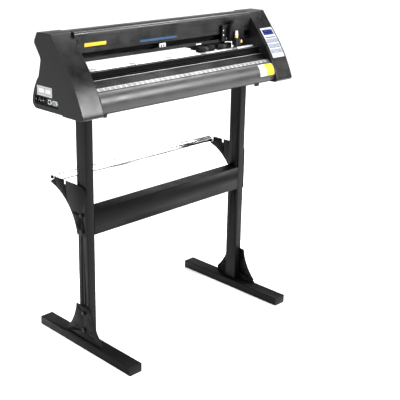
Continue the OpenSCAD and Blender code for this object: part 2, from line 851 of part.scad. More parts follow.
module feed_motor_pulley() {
    translate([feed_pulley_x, feed_motor_y, feed_motor_z]) rotate([0, 90, 0])
        small_pulley(feed_pulley_w, feed_motor_x - feed_pulley_x - feed_pulley_w + 25);
}

// Closed belt round two pulleys in the plane of its children, w wide
module belt_ring(a, ra, b, rb, w) {
    linear_extrude(height = w) difference() {
        hull() {
            translate(a) circle(r = ra + gap + belt_t);
            translate(b) circle(r = rb + gap + belt_t);
        }
        hull() {
            translate(a) circle(r = ra + gap);
            translate(b) circle(r = rb + gap);
        }
    }
}

module feed_belt() {
    side = 1.4;
    color(rubber_black) translate([feed_pulley_x + side, 0, 0]) rotate([90, 0, 90])
        belt_ring([shaft_y, shaft_z], feed_pulley_r, [feed_motor_y, feed_motor_z], small_pulley_r,
            feed_pulley_w - 2 * side);
}

// =====================================================================
// Carriage drive
// =====================================================================

module carriage_motor() {
    color(steel_black) translate([drive_pulley_x, carriage_motor_y, drive_z]) rotate([-90, 0, 0]) stepper(40);
}

module drive_pulley() {
    width = belt_w + 2.8;
    translate([drive_pulley_x, belt_y - width / 2, drive_z]) rotate([-90, 0, 0])
        small_pulley(width, carriage_motor_y - belt_y - width / 2 + 25);
}

module idler_pulley() {
    width = belt_w + 2.8;
    color(metal) difference() {
        translate([idler_x, belt_y - width / 2, drive_z]) rotate([-90, 0, 0]) {
            cylinder(r = small_pulley_r, h = width);
            for (z = [0, width - 1]) translate([0, 0, z]) cylinder(r = small_pulley_r + 2, h = 1);
        }
        rod_y(belt_y - width, belt_y + width, idler_x, drive_z, motor_shaft_d + 2 * run_fit);
    }
}

module carriage_belt() {
    color(rubber_black) translate([0, belt_y + belt_w / 2, 0]) rotate([90, 0, 0])
        belt_ring([drive_pulley_x, drive_z], small_pulley_r, [idler_x, drive_z], small_pulley_r, belt_w);
}

// =====================================================================
// Carriage
// =====================================================================

slider_half = 22;
slider_front = -4;

// Bearing block on the rail, with the lug that grips the belt
module slider_block() {
    half_h = 13.3;
    belt_low = drive_z - small_pulley_r - gap - belt_t;
    lug = [carriage_x - 8, carriage_x + 8];
    lug_front = slider_front - 6.4;
    grip_top = belt_low + belt_t + 3;
    color(metal) {
        difference() {
            block([carriage_x - slider_half, slider_front, slot_z - half_h],
                [carriage_x + slider_half, web_y - 1.8, slot_z + half_h]);
            block([carriage_x - slider_half - 1, web_y - rail_d - gap, slot_z - rail_h / 2 - gap],
                [carriage_x + slider_half + 1, web_y, slot_z + rail_h / 2 + gap]);
        }
        block([lug[0], lug_front, slot_z + 7], [lug[1], slider_front, belt_low - 2 * gap]);
        block([lug[0], lug_front, slot_z + 7], [lug[1], lug_front + 0.9, grip_top]);
        block([lug[0], lug_front, belt_low + belt_t + 2 * gap], [lug[1], slider_front + 4, grip_top]);
    }
}

// Front plate of the carriage, with the neck through the beam's slot
module carriage_plate() {
    plate = [carriage_x - 56, carriage_x + 35];
    plate_rear = plate_front + 4;
    neck = 17;
    color(steel_black) {
        block([plate[0], plate_front, beam_bottom + 3], [plate[1], plate_rear, beam_bottom + 55]);
        block([carriage_x - neck, plate_rear, slot_z - 6], [carriage_x + neck, slider_front, slot_z + 6]);
    }
}

cover_straight = 29;

// Outline of the carriage cover moved inwards by d: straight sides under a half circle
module cover_outline(d) {
    r = cover_w / 2 - d;
    polygon(concat([[r, d]], arc([0, cover_straight], r, 0, 180, 20), [[-r, d]]));
}

// Arched cover over the carriage's mechanism
module carriage_cover() {
    wall = 2;
    color(rubber_black) difference() {
        translate([carriage_x, plate_front, cover_z]) rotate([90, 0, 0])
            linear_extrude(height = plate_front - cover_front) cover_outline(0);
        translate([carriage_x, plate_front + 1, cover_z]) rotate([90, 0, 0])
            linear_extrude(height = plate_front + 1 - cover_front - wall) cover_outline(wall);
        block([tool_x - 5, cover_front - 1, cover_z - 1], [tool_x + 5, plate_front + 1, holder_top + 2]);
    }
}

plunger_y = -31;
plunger_d = 6;

// Solenoid that presses the blade down
module lift_solenoid() {
    bottom = holder_top + 8;
    color(metal) difference() {
        block([tool_x - 10, plunger_y - 4.6, bottom], [tool_x + 10, plate_front, bottom + 26]);
        translate([tool_x, plunger_y, bottom - 1]) cylinder(d = plunger_d + 2 * run_fit, h = 24);
    }
}

// Split clamp block with the plunger that lifts it
module tool_holder() {
    front = tool_y - 9;
    rear = cover_front - 0.4;
    arm_z = holder_z + 13;
    color(steel_black) {
        difference() {
            union() {
                block([tool_x - holder_half, front, holder_z], [tool_x + holder_half, rear, holder_top]);
                block([tool_x - 4, rear, arm_z], [tool_x + 4, plunger_y, holder_top]);
            }
            translate([tool_x, tool_y, holder_z - 1]) cylinder(d = blade_holder_d, h = holder_h + 2);
            rod_x(tool_x + 4, tool_x + holder_half + 1, tool_y, clamp_z, clamp_d + 2 * run_fit);
            block([tool_x - 1, front - 1, holder_z - 1], [tool_x + 1, tool_y, holder_top + 1]);
        }
        translate([tool_x, plunger_y, arm_z]) cylinder(d = plunger_d, h = 30);
    }
}

// Turned blade holder: body, collar, grip and tip
module blade_holder() {
    r = blade_holder_d / 2;
    top = holder_top;
    tip = shaft_top + 2.5;
    color(brass) translate([tool_x, tool_y, 0]) rotate_extrude()
        polygon([[0, tip], [0.8, tip], [2, tip + 4], [r, tip + 6], [r, top], [r + 1.5, top],
            [r + 1.5, top + 3], [r - 0.5, top + 3], [r - 0.5, top + 15], [r - 1.5, top + 15.5],
            [r - 1.5, top + 24], [r - 2.5, top + 25], [0, top + 25]]);
}

// Knurled thumbscrew that closes the clamp
module clamp_knob() {
    start = tool_x + holder_half + gap;
    collar_w = 5;
    ridges = 18;
    step = 180 / ridges;
    color(brass) {
        rod_x(tool_x + 6.5, start, tool_y, clamp_z, clamp_d);
        rod_x(start, start + collar_w, tool_y, clamp_z, 7);
        translate([start + collar_w, tool_y, clamp_z]) rotate([0, 90, 0]) linear_extrude(height = 7)
            polygon([for (i = [0:2 * ridges - 1]) (4.9 + (i % 2) * 0.4) * [cos(i * step), sin(i * step)]]);
    }
}

// =====================================================================
// Pinch rollers
// =====================================================================

arm_half = 21;
// Half width of a pinch block
pinch_half = 26;
pinch_axle_d = 3;
pinch_axle_end = pinch_w / 2 + 4;

// Bracket that slides along the beam's underside, its tongue in the beam's tee slot
module pinch_block(x) {
    ear_t = 4;
    body_z = pinch_pivot_z + 6;
    tongue_top = beam_bottom + 8;
    color(rubber_black) difference() {
        union() {
            block([x - pinch_half, -8, body_z], [x + pinch_half, beam_rear, beam_bottom - gap]);
            for (ear_x = [x - pinch_half, x + pinch_half - ear_t])
                block([ear_x, 0, pinch_pivot_z - 4], [ear_x + ear_t, 16, body_z]);
            block([x - pinch_half, tee_y - tee_mouth / 2 + gap, beam_bottom - gap],
                [x + pinch_half, tee_y + tee_mouth / 2 - gap, tongue_top]);
            block([x - pinch_half, tee_y - tee_head / 2 + gap, beam_bottom + 4 + gap],
                [x + pinch_half, tee_y + tee_head / 2 - gap, tongue_top]);
        }
        rod_x(x - pinch_half - 1, x + pinch_half + 1, pinch_pivot_y, pinch_pivot_z,
            pinch_pin_d + 2 * run_fit);
    }
}

// Rocking arm: front housing for the wheel, pivot pin, and the release lever behind the beam
module pinch_arm(x, half) {
    front = shaft_y - 7;
    housing = [front, beam_front - 1.5, shaft_top + 1.7, pinch_z + 10];
    wheel_gap = pinch_w / 2 + gap;
    arm_top = pinch_pivot_z + 4;
    arm_low = pinch_pivot_z - 4;
    lever = [beam_rear + 10, beam_rear + 14];
    lever_top = beam_bottom + 66;
    lever_half = 8;
    grip_half = 13;
    grip_h = 22;
    color(rubber_black) {
        difference() {
            union() {
                block([x - half, housing[0], housing[2]], [x + half, housing[1], housing[3]]);
                block([x - arm_half, housing[1] - 1, arm_low], [x + arm_half, 14, arm_top]);
                block([x - lever_half, 10, arm_low], [x + lever_half, lever[1], arm_top]);
                block([x - lever_half, lever[0], arm_low], [x + lever_half, lever[1], lever_top]);
                block([x - grip_half, lever[0], lever_top - grip_h], [x + grip_half, lever[1], lever_top]);
            }
            block([x - wheel_gap, front - 1, housing[2] - 1],
                [x + wheel_gap, shaft_y + pinch_d / 2 + 1.2, housing[3] + 1]);
            rod_x(x - pinch_axle_end - gap, x + pinch_axle_end + gap, shaft_y, pinch_z,
                pinch_axle_d + 2 * run_fit);
        }
        rod_x(x - pinch_half, x + pinch_half, pinch_pivot_y, pinch_pivot_z, pinch_pin_d);
    }
}

// Pinch wheel with its axle stubs
module pinch_wheel(x) {
    color([0.15, 0.15, 0.15]) {
        rod_x(x - pinch_w / 2, x + pinch_w / 2, shaft_y, pinch_z, pinch_d);
        rod_x(x - pinch_axle_end, x + pinch_axle_end, shaft_y, pinch_z, pinch_axle_d);
    }
}

// =====================================================================

left_foot();
right_foot();
foot_plugs();
left_leg();
right_leg();
crossbar();
roll_brackets();
stand_bolts();
roll_axle();
roll_tube();
roll_plugs();
side_plates();
left_end_cap();
right_end_cap();
base_pan();
front_apron();
platform();
head_feet();
beam();
guide_rail();
port_panel();
power_switch();
power_inlet();
data_sockets();
membrane_panel();
display();
key(1);  // key_1
key(2);  // key_2
key(3);  // key_3
key(4);  // key_4
key(5);  // key_5
key(6);  // key_6
key(7);  // key_7
key(8);  // key_8
key(9);  // key_9
power_supply();
main_board();
feed_shaft();
feed_bearings();
feed_pulley();
feed_motor();
feed_motor_pulley();
feed_belt();
carriage_motor();
drive_pulley();
idler_pulley();
carriage_belt();
slider_block();
carriage_plate();
carriage_cover();
lift_solenoid();
tool_holder();
blade_holder();
clamp_knob();
pinch_block(pinch_1_x);  // pinch_block_1
pinch_arm(pinch_1_x, 36);  // pinch_arm_1
pinch_wheel(pinch_1_x);  // pinch_wheel_1
pinch_block(pinch_2_x);  // pinch_block_2
pinch_arm(pinch_2_x, 32);  // pinch_arm_2
pinch_wheel(pinch_2_x);  // pinch_wheel_2
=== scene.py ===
import json
import math

import bmesh
import bpy
from mathutils import Matrix, Vector


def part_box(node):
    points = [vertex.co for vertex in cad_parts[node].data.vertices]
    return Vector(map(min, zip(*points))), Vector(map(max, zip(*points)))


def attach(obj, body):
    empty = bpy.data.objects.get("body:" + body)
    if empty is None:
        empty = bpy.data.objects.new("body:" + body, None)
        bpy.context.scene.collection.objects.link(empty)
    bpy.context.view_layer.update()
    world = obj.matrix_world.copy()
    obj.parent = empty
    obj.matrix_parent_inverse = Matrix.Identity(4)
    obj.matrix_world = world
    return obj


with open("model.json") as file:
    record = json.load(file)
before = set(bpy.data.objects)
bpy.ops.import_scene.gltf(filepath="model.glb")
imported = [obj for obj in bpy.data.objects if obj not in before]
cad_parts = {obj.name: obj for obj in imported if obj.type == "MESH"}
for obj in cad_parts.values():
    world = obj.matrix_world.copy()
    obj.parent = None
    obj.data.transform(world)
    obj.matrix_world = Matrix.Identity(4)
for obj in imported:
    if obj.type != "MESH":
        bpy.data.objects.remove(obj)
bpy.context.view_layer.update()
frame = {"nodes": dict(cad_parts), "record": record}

MM = 0.001
nodes = frame["nodes"]


# ---------------------------------------------------------------- camera, light, floor

# The viewpoint in metres, and its turn, downward tilt and lean in degrees
CAMERA_PLACE = (-1.7445, -1.8141, 1.2949)
CAMERA_YAW = 43.35
CAMERA_PITCH = 16.76
CAMERA_ROLL = 0.32
# Lens and sensor in millimetres, and the shift as a share of the frame
CAMERA_LENS = 74.2
CAMERA_SENSOR = 36
CAMERA_SHIFT = 0.1
CAMERA_REACH = 50
FLOOR_SIZE = 30
FLOOR_DROP = 0.0005


def make_camera():
    """The photograph's viewpoint: in front and to the left, a little above the head."""
    yaw, pitch, roll = (math.radians(turn) for turn in (CAMERA_YAW, CAMERA_PITCH, CAMERA_ROLL))
    forward = Vector((math.sin(yaw) * math.cos(pitch), math.cos(yaw) * math.cos(pitch), -math.sin(pitch)))
    right = Vector((math.cos(yaw), -math.sin(yaw), 0))
    up = right.cross(forward)
    tilted_right = right * math.cos(roll) + up * math.sin(roll)
    tilted_up = up * math.cos(roll) - right * math.sin(roll)
    data = bpy.data.cameras.new("camera")
    data.sensor_width = CAMERA_SENSOR
    data.lens = CAMERA_LENS
    data.shift_x = CAMERA_SHIFT
    data.shift_y = -CAMERA_SHIFT
    data.clip_end = CAMERA_REACH
    camera = bpy.data.objects.new("camera", data)
    bpy.context.scene.collection.objects.link(camera)
    turn = Matrix((tilted_right, tilted_up, -forward)).transposed()
    camera.matrix_world = Matrix.Translation(CAMERA_PLACE) @ turn.to_4x4()
    bpy.context.scene.camera = camera


def area_light(name, place, target, size, power):
    """A rectangular soft box that faces its target."""
    data = bpy.data.lights.new(name, "AREA")
    data.shape = "RECTANGLE"
    data.size, data.size_y = size
    data.energy = power
    light = bpy.data.objects.new(name, data)
    light.location = place
    light.rotation_mode = "QUATERNION"
    light.rotation_quaternion = (Vector(target) - Vector(place)).to_track_quat("-Z", "Y")
    bpy.context.scene.collection.objects.link(light)


def sun_light(name, place, angle, strength):
    """A very soft distant light that shines from a place towards the origin."""
    data = bpy.data.lights.new(name, "SUN")
    data.angle = math.radians(angle)
    data.energy = strength
    light = bpy.data.objects.new(name, data)
    light.rotation_mode = "QUATERNION"
    light.rotation_quaternion = (-Vector(place)).to_track_quat("-Z", "Y")
    bpy.context.scene.collection.objects.link(light)


# Brightness of the studio by the sine of the height above the horizon
SKY_STEPS = ((0.0, 1.0), (0.30, 0.9), (0.46, 0.28), (0.85, 0.28), (1.0, 0.6))


def make_world():
    """A white studio: bright walls with a softer ceiling above them."""
    world = bpy.data.worlds.new("studio")
    bpy.context.scene.world = world
    world.use_nodes = True
    tree = world.node_tree
    tree.nodes.clear()
    coords = tree.nodes.new("ShaderNodeTexCoord")
    split = tree.nodes.new("ShaderNodeSeparateXYZ")
    ramp = tree.nodes.new("ShaderNodeValToRGB")
    sky = tree.nodes.new("ShaderNodeBackground")
    out = tree.nodes.new("ShaderNodeOutputWorld")
    steps = ramp.color_ramp.elements
    while len(steps) < len(SKY_STEPS):
        steps.new(0.5)
    for step, (height, bright) in zip(steps, SKY_STEPS):
        step.position = height
        step.color = (bright, bright, bright, 1)
    tree.links.new(coords.outputs["Generated"], split.inputs[0])
    tree.links.new(split.outputs["Z"], ramp.inputs["Fac"])
    tree.links.new(ramp.outputs["Color"], sky.inputs["Color"])
    tree.links.new(sky.outputs["Background"], out.inputs["Surface"])


def make_stage():
    """Pale floor under the object."""
    bpy.ops.mesh.primitive_plane_add(size=FLOOR_SIZE, location=(0, 0, -FLOOR_DROP))
    floor = bpy.context.object
    floor.name = "floor"
    floor.data.materials.append(plain("floor_white", (0.95, 0.95, 0.95), 0.9))


# ---------------------------------------------------------------- materials

def new_material(name):
    """An empty node material, its node tree and its main shader."""
    mat = bpy.data.materials.new(name)
    mat.use_nodes = True
    return mat, mat.node_tree, mat.node_tree.nodes["Principled BSDF"]


def add(tree, kind, **values):
    """Adds a shader node and sets its properties."""
    node = tree.nodes.new("ShaderNode" + kind)
    for key, value in values.items():
        setattr(node, key, value)
    return node


def plain(name, colour, rough):
    """One even finish, for the floor only."""
    mat, _, bsdf = new_material(name)
    bsdf.inputs["Base Color"].default_value = (*colour, 1)
    bsdf.inputs["Roughness"].default_value = rough
    return mat


def noise(tree, scale, detail=3.0, stretch=(1, 1, 1)):
    """Noise over the object's own coordinates, stretched along its axes."""
    coords = add(tree, "TexCoord")
    mapping = add(tree, "Mapping")
    mapping.inputs["Scale"].default_value = stretch
    tex = add(tree, "TexNoise")
    tex.inputs["Scale"].default_value = scale
    tex.inputs["Detail"].default_value = detail
    tree.links.new(coords.outputs["Object"], mapping.inputs["Vector"])
    tree.links.new(mapping.outputs["Vector"], tex.inputs["Vector"])
    return tex.outputs["Fac"]


def spread(tree, source, low, high, start=0.35, end=0.65):
    """Maps a noise value to a range."""
    node = add(tree, "MapRange")
    node.inputs["From Min"].default_value = start
    node.inputs["From Max"].default_value = end
    node.inputs["To Min"].default_value = low
    node.inputs["To Max"].default_value = high
    tree.links.new(source, node.inputs["Value"])
    return node.outputs["Result"]


def blend_colours(tree, factor, low, high):
    """Mixes two colours by a factor."""
    node = add(tree, "Mix", data_type="RGBA")
    node.inputs[6].default_value = (*low, 1)
    node.inputs[7].default_value = (*high, 1)
    tree.links.new(factor, node.inputs["Factor"])
    return node.outputs[2]


def bump(tree, bsdf, height, distance):
    """Gives the surface a relief of the given depth."""
    node = add(tree, "Bump")
    node.inputs["Distance"].default_value = distance
    tree.links.new(height, node.inputs["Height"])
    tree.links.new(node.outputs["Normal"], bsdf.inputs["Normal"])
    return node


EDGE_SAMPLES = 6


def surface(name, colour, rough, metal=0.0, vary=0.15, mottle=18, grain=900, grain_depth=0.00008,
            rough_vary=0.08, stretch=(1, 1, 1), specular=0.5, rounding=0.0):
    """A finish with slow colour and gloss variation and a fine grain, and edges shaded round if asked."""
    mat, tree, bsdf = new_material(name)
    slow = noise(tree, mottle, 4)
    fine = noise(tree, grain, 2, stretch)
    low = tuple(c * (1 - vary) for c in colour)
    high = tuple(min(1, c * (1 + vary)) for c in colour)
    tree.links.new(blend_colours(tree, spread(tree, slow, 0, 1), low, high), bsdf.inputs["Base Color"])
    mixed = add(tree, "Math", operation="ADD")
    tree.links.new(spread(tree, slow, rough - rough_vary, rough + rough_vary), mixed.inputs[0])
    tree.links.new(spread(tree, fine, -rough_vary / 2, rough_vary / 2), mixed.inputs[1])
    tree.links.new(mixed.outputs[0], bsdf.inputs["Roughness"])
    bsdf.inputs["Metallic"].default_value = metal
    bsdf.inputs["Specular IOR Level"].default_value = specular
    relief = bump(tree, bsdf, fine, grain_depth)
    if rounding:
        edge = add(tree, "Bevel", samples=EDGE_SAMPLES)
        edge.inputs["Radius"].default_value = rounding
        tree.links.new(edge.outputs["Normal"], relief.inputs["Normal"])
    return mat


# Heights above the tool holder's foot where the black body and the brass collar end
HOLDER_BODY_TOP = 23 * MM
HOLDER_COLLAR_TOP = 33 * MM


def banded_holder(name):
    """The blade holder's finish by height: black body, brass collar, white grip."""
    mat, tree, bsdf = new_material(name)
    coords = add(tree, "TexCoord")
    split = add(tree, "SeparateXYZ")
    tree.links.new(coords.outputs["Object"], split.inputs[0])
    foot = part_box("tool_holder")[0][2]
    above = []
    for height in (HOLDER_BODY_TOP, HOLDER_COLLAR_TOP):
        step = add(tree, "Math", operation="GREATER_THAN")
        step.inputs[1].default_value = foot + height
        tree.links.new(split.outputs["Z"], step.inputs[0])
        above.append(step.outputs[0])
    lower = blend_colours(tree, above[0], (0.010, 0.010, 0.011), (0.72, 0.50, 0.20))
    mix = add(tree, "Mix", data_type="RGBA")
    mix.inputs[7].default_value = (0.86, 0.84, 0.80, 1)
    tree.links.new(above[1], mix.inputs["Factor"])
    tree.links.new(lower, mix.inputs[6])
    tree.links.new(mix.outputs[2], bsdf.inputs["Base Color"])
    wear = noise(tree, 300)
    tree.links.new(spread(tree, wear, 0.24, 0.38), bsdf.inputs["Roughness"])
    bump(tree, bsdf, wear, 0.00002)
    return mat


# How each finish is made, by name
make_materials = {
    "stand_steel": lambda n: surface(n, (0.0045, 0.0045, 0.005), 0.40, grain=700, grain_depth=0.00006,
                                     specular=0.14, rough_vary=0.05),
    "frame_steel": lambda n: surface(n, (0.012, 0.012, 0.013), 0.45, grain=900, specular=0.25),
    "bolt_black": lambda n: surface(n, (0.010, 0.010, 0.011), 0.35, grain=900, specular=0.3),
    "zinc_steel": lambda n: surface(n, (0.60, 0.61, 0.63), 0.32, metal=1.0, grain=1200,
                                    grain_depth=0.00003),
    "chrome": lambda n: surface(n, (0.82, 0.83, 0.85), 0.12, metal=1.0, vary=0.04, rough_vary=0.04,
                                grain=700, grain_depth=0.00001, stretch=(0.02, 1, 1)),
    "case_plastic": lambda n: surface(n, (0.004, 0.004, 0.0044), 0.31, grain=1100, grain_depth=0.00004,
                                      specular=0.35, rough_vary=0.05, rounding=0.0035),
    "apron_paint": lambda n: surface(n, (0.036, 0.036, 0.037), 0.40, metal=0.2, grain=1000,
                                     grain_depth=0.00004),
    "black_plastic": lambda n: surface(n, (0.005, 0.005, 0.0055), 0.42, grain=1200, specular=0.18),
    "ground_steel": lambda n: surface(n, (0.86, 0.86, 0.87), 0.34, metal=0.45, vary=0.04, grain=900,
                                      grain_depth=0.00002),
    "turned_holder": banded_holder,
    "white_plastic": lambda n: surface(n, (0.84, 0.84, 0.83), 0.38, vary=0.03, grain=900),
    "anodised": lambda n: surface(n, (0.004, 0.004, 0.0044), 0.32, metal=0.02, grain=500,
                                  grain_depth=0.00003, stretch=(0.02, 1, 1), specular=0.45),
    "platform_black": lambda n: surface(n, (0.006, 0.006, 0.0065), 0.38, grain=500, grain_depth=0.00003,
                                        stretch=(0.02, 1, 1), specular=0.06),
    "ruler_grey": lambda n: surface(n, (0.075, 0.075, 0.078), 0.40, vary=0.05, grain=900,
                                    grain_depth=0.00002),
    "strip_grey": lambda n: surface(n, (0.05, 0.05, 0.05), 0.60, vary=0.08, grain=700),
    "screen_glow": lambda n: surface(n, (0.014, 0.022, 0.12), 0.30, vary=0.05),
    "grit": lambda n: surface(n, (0.45, 0.45, 0.46), 0.48, metal=0.8, vary=0.25, mottle=900, grain=1800,
                              grain_depth=0.00015),
    "overlay_white": lambda n: surface(n, (0.36, 0.375, 0.395), 0.30, vary=0.02, grain=1500,
                                       grain_depth=0.00002),
    "key_white": lambda n: surface(n, (0.29, 0.31, 0.36), 0.28, vary=0.03, grain=1500,
                                   grain_depth=0.00002),
    "screen_blue": lambda n: surface(n, (0.007, 0.012, 0.085), 0.16, vary=0.10, grain=2500,
                                     grain_depth=0.00001),
    "rubber": lambda n: surface(n, (0.018, 0.018, 0.018), 0.70, grain=600),
    "motor_black": lambda n: surface(n, (0.02, 0.02, 0.022), 0.45),
    "board_green": lambda n: surface(n, (0.02, 0.13, 0.06), 0.35),
    "brass": lambda n: surface(n, (0.78, 0.55, 0.22), 0.25, metal=1.0, vary=0.08, grain=900,
                               grain_depth=0.00003),
    "aluminium": lambda n: surface(n, (0.72, 0.73, 0.75), 0.30, metal=1.0, vary=0.05, grain=900,
                                   grain_depth=0.00003),
    "label_yellow": lambda n: surface(n, (0.56, 0.37, 0.008), 0.42, vary=0.03),
    "label_white": lambda n: surface(n, (0.52, 0.52, 0.52), 0.42, vary=0.02),
    "label_blue": lambda n: surface(n, (0.010, 0.055, 0.13), 0.42, vary=0.05),
    # Black print, also used as painted shade in screw recesses and vent slots
    "ink_and_shade_black": lambda n: surface(n, (0.02, 0.02, 0.02), 0.50, vary=0.05),
    "ink_blue": lambda n: surface(n, (0.006, 0.012, 0.050), 0.45, vary=0.05),
    # Silver foil of the data plates, also used for the platform strips that are painted highlights
    "foil_and_highlight_silver": lambda n: surface(n, (0.36, 0.365, 0.375), 0.42, metal=0.6, vary=0.08, mottle=60),
}
made_materials = {}


def material(name):
    """A finish by name, made once."""
    if name not in made_materials:
        made_materials[name] = make_materials[name](name)
    return made_materials[name]


# ---------------------------------------------------------------- mesh helpers

WELD_DISTANCE = 0.00001
SAME_POINT = 1e-6
BEVEL_SEGMENTS = 2
BEVEL_ANGLE = 35
CREASE_ANGLE = 30


def mesh_piece(name, verts, faces, mat, body="root"):
    """A flat-shaded mesh object from points in metres, in the row frame, riding on a body."""
    data = bpy.data.meshes.new(name)
    data.from_pydata([tuple(v) for v in verts], [], faces)
    data.validate()
    work = bmesh.new()
    work.from_mesh(data)
    bmesh.ops.remove_doubles(work, verts=work.verts, dist=SAME_POINT)
    bmesh.ops.recalc_face_normals(work, faces=work.faces)
    work.to_mesh(data)
    work.free()
    for polygon in data.polygons:
        polygon.use_smooth = False
    piece = bpy.data.objects.new(name, data)
    bpy.context.scene.collection.objects.link(piece)
    data.materials.append(material(mat))
    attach(piece, body)
    return piece


def weld_smooth(piece):
    """Joins coincident points, as a modifier, and shades the faces smoothly."""
    weld = piece.modifiers.new("weld", "WELD")
    weld.merge_threshold = WELD_DISTANCE
    for polygon in piece.data.polygons:
        polygon.use_smooth = True


def soften(piece, width):
    """Rounds the sharp edges, as modifiers."""
    weld_smooth(piece)
    bevel = piece.modifiers.new("bevel", "BEVEL")
    bevel.width = width
    bevel.segments = BEVEL_SEGMENTS
    bevel.limit_method = "ANGLE"
    bevel.angle_limit = math.radians(BEVEL_ANGLE)
    bevel.harden_normals = True


def crease(piece):
    """Smooth shading on curved faces, with crisp edges, as modifiers."""
    weld_smooth(piece)
    split = piece.modifiers.new("split", "EDGE_SPLIT")
    split.split_angle = math.radians(CREASE_ANGLE)


# CAD nodes whose finish isn't the one named after their material slot
finish_of = {"front_apron": "apron_paint", "stand_bolts": "bolt_black", "feed_shaft": "ground_steel",
             "blade_holder": "turned_holder", "platform": "platform_black", "guide_rail": "platform_black",
             "pinch_wheel_1": "rubber", "pinch_wheel_2": "rubber"}
# CAD nodes with rounded edges, and the width of the rounding in millimetres
softened = {"left_foot": 0.8, "right_foot": 0.8, "left_leg": 0.8, "right_leg": 0.8, "crossbar": 1.2,
            "roll_brackets": 0.6, "stand_bolts": 0.5, "carriage_cover": 0.6, "head_feet": 0.6,
            "tool_holder": 0.4, "pinch_arm_1": 0.5, "pinch_arm_2": 0.5, "power_supply": 1.0,
            "foot_plugs": 0.6}
# CAD nodes with curved faces that are shaded smoothly between crisp edges
creased = ("left_end_cap", "right_end_cap", "front_apron", "beam", "platform", "base_pan", "roll_tube",
           "roll_axle", "roll_plugs", "feed_shaft", "membrane_panel")


def dress_nodes():
    """Gives every CAD node its finish and its edges."""
    for row in frame["record"]["subparts"]:
        mesh = nodes[row["node"]].data
        mesh.materials.clear()
        mesh.materials.append(material(finish_of.get(row["node"], row["material_slot"])))
    for name, width in softened.items():
        soften(nodes[name], width * MM)
    for name in creased:
        crease(nodes[name])


# ---------------------------------------------------------------- places, in millimetres

def low(node):
    """Lowest corner of a node's box, in millimetres."""
    return Vector(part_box(node)[0]) / MM


def high(node):
    """Highest corner of a node's box, in millimetres."""
    return Vector(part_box(node)[1]) / MM


def place(origin, right, up):
    """A frame whose x and y axes lie in a surface and whose z axis leaves it."""
    right, up = Vector(right), Vector(up)
    turn = Matrix((right, up, right.cross(up))).transposed()
    return Matrix.Translation(Vector(origin)) @ turn.to_4x4()


def facing_front(x, y, z):
    """A frame on a wall that faces the operator."""
    return place((x, y, z), (1, 0, 0), (0, 0, 1))


def facing_left(x, y, z):
    """A frame on a wall that faces left."""
    return place((x, y, z), (0, -1, 0), (0, 0, 1))


def facing_back(x, y, z):
    """A frame on a wall that faces the rear."""
    return place((x, y, z), (-1, 0, 0), (0, 0, 1))


def facing_up(x, y, z):
    """A frame on a level surface."""
    return place((x, y, z), (1, 0, 0), (0, 1, 0))


# Underside of the head, then the end caps' front slope: straight from its top, then curved
HEAD_Z = low("base_pan").z
CAP_CORNER = Vector((0, -62, HEAD_Z + 140))
CAP_ANGLE = math.radians(51.43)
CAP_STRAIGHT = 94.6
CAP_RADIUS = 485
# Top edge of the platform's slope, as y and z, and the slope's fall
PLATFORM_TOP = (-35, HEAD_Z + 104)
PLATFORM_ANGLE = math.radians(30.3)


def on_cap(x, s, lift=0.0):
    """A frame on the front slope of the end caps, s millimetres down the slope from its top."""
    angle = CAP_ANGLE + max(s - CAP_STRAIGHT, 0) / CAP_RADIUS
    up = Vector((0, math.cos(angle), math.sin(angle)))
    out = Vector((0, -math.sin(angle), math.cos(angle)))
    if s < CAP_STRAIGHT:
        point = CAP_CORNER + (CAP_STRAIGHT - s) * up
    else:
        start = Vector((0, -math.sin(CAP_ANGLE), math.cos(CAP_ANGLE)))
        point = CAP_CORNER + CAP_RADIUS * (out - start)
    return place(point + lift * out + Vector((x, 0, 0)), (1, 0, 0), up)


def on_platform(x, s, lift=0.0):
    """A frame on the platform's slope, s down it from its top edge."""
    up = Vector((0, math.cos(PLATFORM_ANGLE), math.sin(PLATFORM_ANGLE)))
    out = Vector((0, -math.sin(PLATFORM_ANGLE), math.cos(PLATFORM_ANGLE)))
    top = Vector((x, PLATFORM_TOP[0], PLATFORM_TOP[1]))
    return place(top - s * up + lift * out, (1, 0, 0), up)


# ---------------------------------------------------------------- shapes, in millimetres

def rounded(w, h, r=0.0, steps=4):
    """Outline of a rectangle about the origin, anticlockwise."""
    if r <= 0:
        return [(w / 2, -h / 2), (w / 2, h / 2), (-w / 2, h / 2), (-w / 2, -h / 2)]
    points = []
    for turn, (sx, sy) in enumerate(((1, 1), (-1, 1), (-1, -1), (1, -1))):
        for i in range(steps + 1):
            a = math.pi / 2 * (turn + i / steps)
            points.append((sx * (w / 2 - r) + r * math.cos(a), sy * (h / 2 - r) + r * math.sin(a)))
    return points


def circle(d, steps):
    """Outline of a circle about the origin."""
    return [(d / 2 * math.cos(2 * math.pi * i / steps), d / 2 * math.sin(2 * math.pi * i / steps))
            for i in range(steps)]


def slab(name, outline, thick, at, mat, body="root", sink=0.3):
    """An outline raised by thick over a surface, and sunk a little into it."""
    many_slabs(name, [(outline, at)], thick, mat, body, sink)


def many_slabs(name, shapes, thick, mat, body="root", sink=0.2):
    """One mesh of several raised outlines, each with its own frame."""
    points, faces = [], []
    for outline, at in shapes:
        n, base = len(outline), len(points)
        points += [at @ Vector((x, y, z)) * MM for z in (-sink, thick) for x, y in outline]
        faces += [[base + i for i in reversed(range(n))], [base + n + i for i in range(n)]]
        faces += [[base + i, base + (i + 1) % n, base + n + (i + 1) % n, base + n + i] for i in range(n)]
    mesh_piece(name, points, faces, mat, body)


